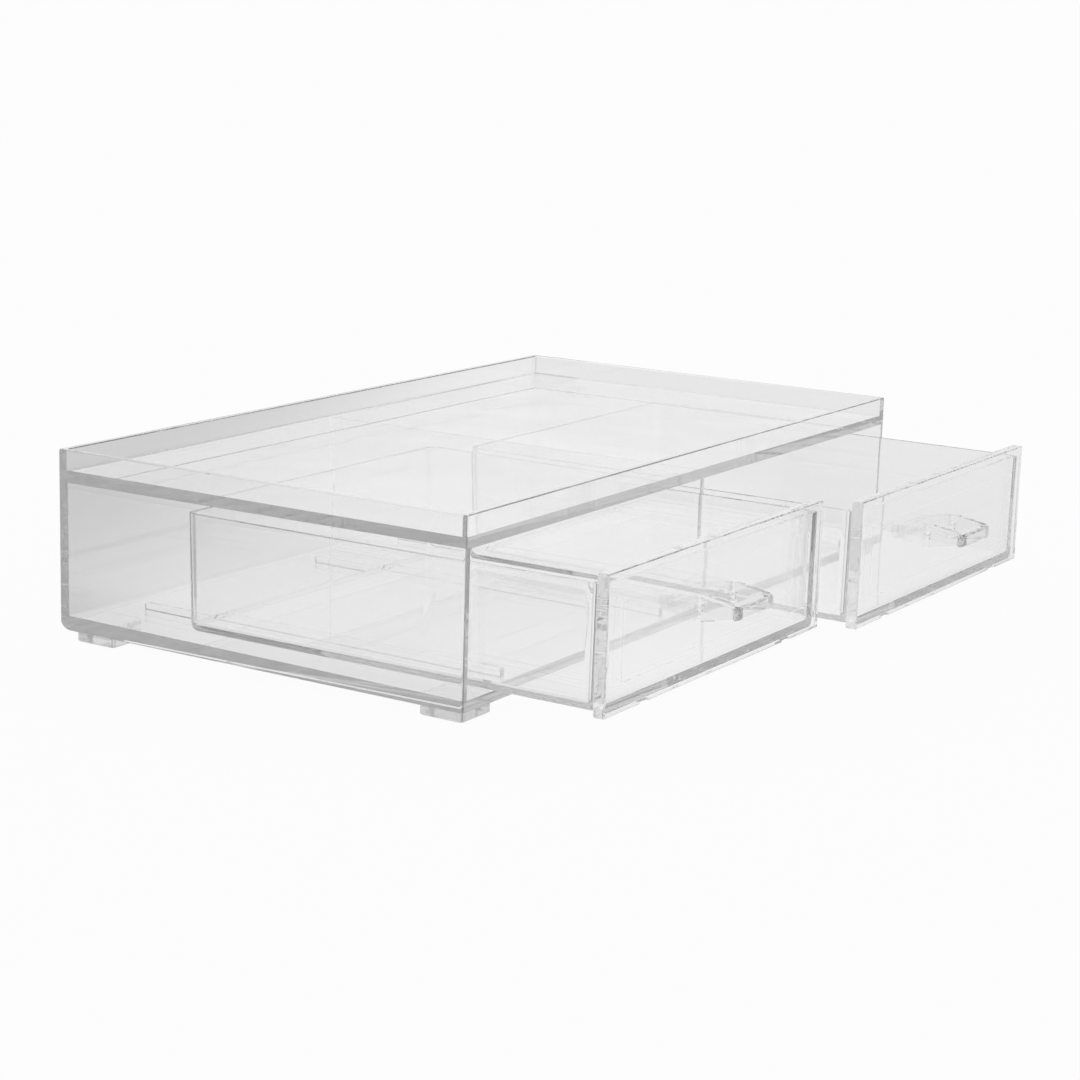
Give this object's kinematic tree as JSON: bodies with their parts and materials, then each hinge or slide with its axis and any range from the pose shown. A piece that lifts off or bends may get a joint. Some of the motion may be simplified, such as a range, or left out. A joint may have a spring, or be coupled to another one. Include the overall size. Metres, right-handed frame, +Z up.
{
  "type": "desk organizer with tray top and drawers",
  "caption": "Clear moulded desk organizer with a rimmed tray top, side by side pull-out drawers with bar handles, and low square feet.",
  "frame": {"origin": "on the table under the middle of the whole object's box, with the drawers part open as in the picture", "axes": "+Z up, -Y the way the drawers open, +X to the right seen from the front"},
  "size_m": [0.318, 0.257, 0.0713],
  "materials": {
    "case_plastic": "clear, polished",
    "divider_plastic": "clear, polished",
    "tub_plastic": "clear, polished",
    "panel_plastic": "clear, polished",
    "handle_plastic": "clear, polished",
    "foot_pad": "soft, translucent"
  },
  "bodies": {
    "case": {"case_shell": "case_plastic", "centre_divider": "divider_plastic", "foot_front_left": "foot_pad", "foot_front_right": "foot_pad", "foot_rear_left": "foot_pad", "foot_rear_right": "foot_pad"},
    "left_drawer": {"left_drawer_tub": "tub_plastic", "left_drawer_front_panel": "panel_plastic", "left_drawer_handle": "handle_plastic"},
    "right_drawer": {"right_drawer_tub": "tub_plastic", "right_drawer_front_panel": "panel_plastic", "right_drawer_handle": "handle_plastic"}
  },
  "joints": [
    {"name": "left_drawer_slide", "type": "slide", "parent": "case", "child": "left_drawer", "axis": [0, -1, 0], "range_m": [-0.052, 0.088]},
    {"name": "right_drawer_slide", "type": "slide", "parent": "case", "child": "right_drawer", "axis": [0, -1, 0], "range_m": [-0.065, 0.075]}
  ]
}
